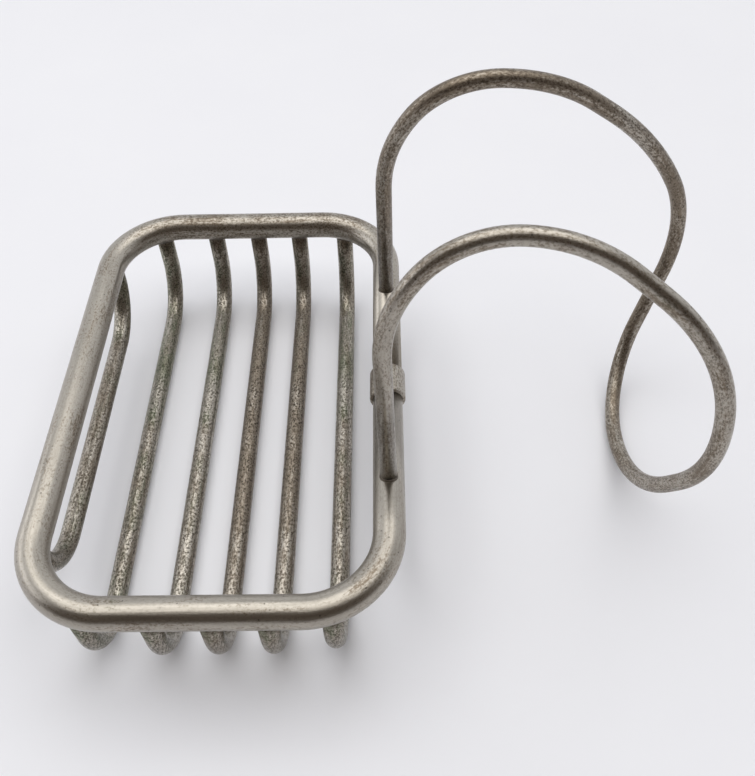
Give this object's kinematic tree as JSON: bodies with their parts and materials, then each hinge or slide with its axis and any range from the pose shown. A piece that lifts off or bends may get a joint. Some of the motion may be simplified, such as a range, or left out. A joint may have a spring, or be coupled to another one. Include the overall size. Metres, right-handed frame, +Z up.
{
  "type": "wire soap dish",
  "caption": "Open wire soap dish with a heavy rounded rim, U-shaped slats and a bent wire arch that hooks over the rolled rim of a bath tub.",
  "frame": {"origin": "centre of the tray, on the plane that the undersides of the floor slats rest on", "axes": "+X from the tray towards the hanger, +Y along the tray's long sides, +Z up"},
  "size_m": [0.1719, 0.1404, 0.1065],
  "materials": {
    "rim": "worn grey nickel plate over brass, softly polished",
    "ferrule": "worn grey nickel plate over brass",
    "slats": "pitted grey nickel plate with brown and green tarnish",
    "hanger": "worn grey nickel plate over brass, drawn wire",
    "solder": "dull grey solder"
  },
  "bodies": {
    "root": {"rim_wire": "rim", "rim_ferrule": "ferrule", "slat_1": "slats", "slat_2": "slats", "slat_3": "slats", "slat_4": "slats", "slat_5": "slats", "slat_6": "slats", "slat_7": "slats", "hanger_wire": "hanger", "slat_solder": "solder", "hanger_solder": "solder"}
  },
  "joints": []
}
